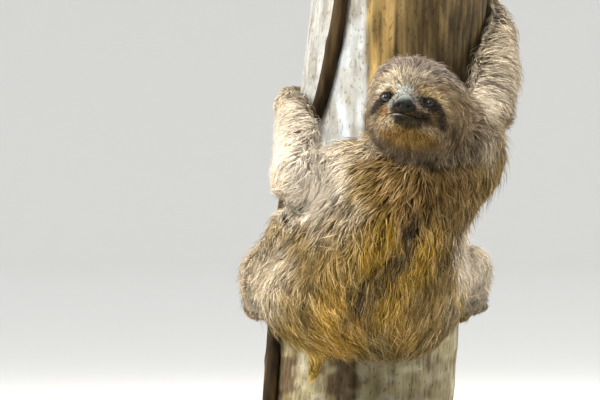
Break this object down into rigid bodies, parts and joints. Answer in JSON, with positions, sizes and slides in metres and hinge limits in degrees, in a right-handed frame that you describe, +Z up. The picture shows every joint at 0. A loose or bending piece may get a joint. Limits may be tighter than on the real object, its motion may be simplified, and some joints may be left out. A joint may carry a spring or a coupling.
{
  "type": "three-toed sloth",
  "caption": "Life-size model of a brown-throated sloth hugging a cut length of tree trunk with its head turned right round, on a plain display stand.",
  "frame": {"origin": "on the underside of the stand's base, straight below the trunk's axis at the height of the sloth's loins", "axes": "+Z up, -Y out of the sloth's back and towards where its face looks, +X to the right as seen from there"},
  "size_m": [0.34, 0.3894, 0.562],
  "materials": {
    "coat": "long coarse grey-brown fur with golden patches",
    "face": "short cream and brown fur with dark eye stripes",
    "skin": "bare dark skin, slightly moist",
    "eye": "glossy dark brown",
    "claw": "pale horn, darker at the root",
    "bark": "smooth mottled grey and brown bark, pale cut ends",
    "vine": "dark brown fibrous bark",
    "base": "satin black painted board",
    "rod": "brushed"
  },
  "bodies": {
    "root": {"stand_base": "base", "stand_rod_left": "rod", "stand_rod_right": "rod", "perch_trunk": "bark", "perch_vine": "vine", "torso": "coat", "neck": "coat", "tail": "coat", "head": "face", "eye_left": "eye", "eye_right": "eye", "ear_left": "skin", "ear_right": "skin", "nose": "skin", "upper_arm_left": "coat", "forearm_left": "coat", "hand_left": "coat", "claw_hand_left_1": "claw", "claw_hand_left_2": "claw", "claw_hand_left_3": "claw", "thigh_left": "coat", "shin_left": "coat", "foot_left": "coat", "claw_foot_left_1": "claw", "claw_foot_left_2": "claw", "claw_foot_left_3": "claw", "upper_arm_right": "coat", "forearm_right": "coat", "hand_right": "coat", "claw_hand_right_1": "claw", "claw_hand_right_2": "claw", "claw_hand_right_3": "claw", "thigh_right": "coat", "shin_right": "coat", "foot_right": "coat", "claw_foot_right_1": "claw", "claw_foot_right_2": "claw", "claw_foot_right_3": "claw"}
  },
  "joints": []
}
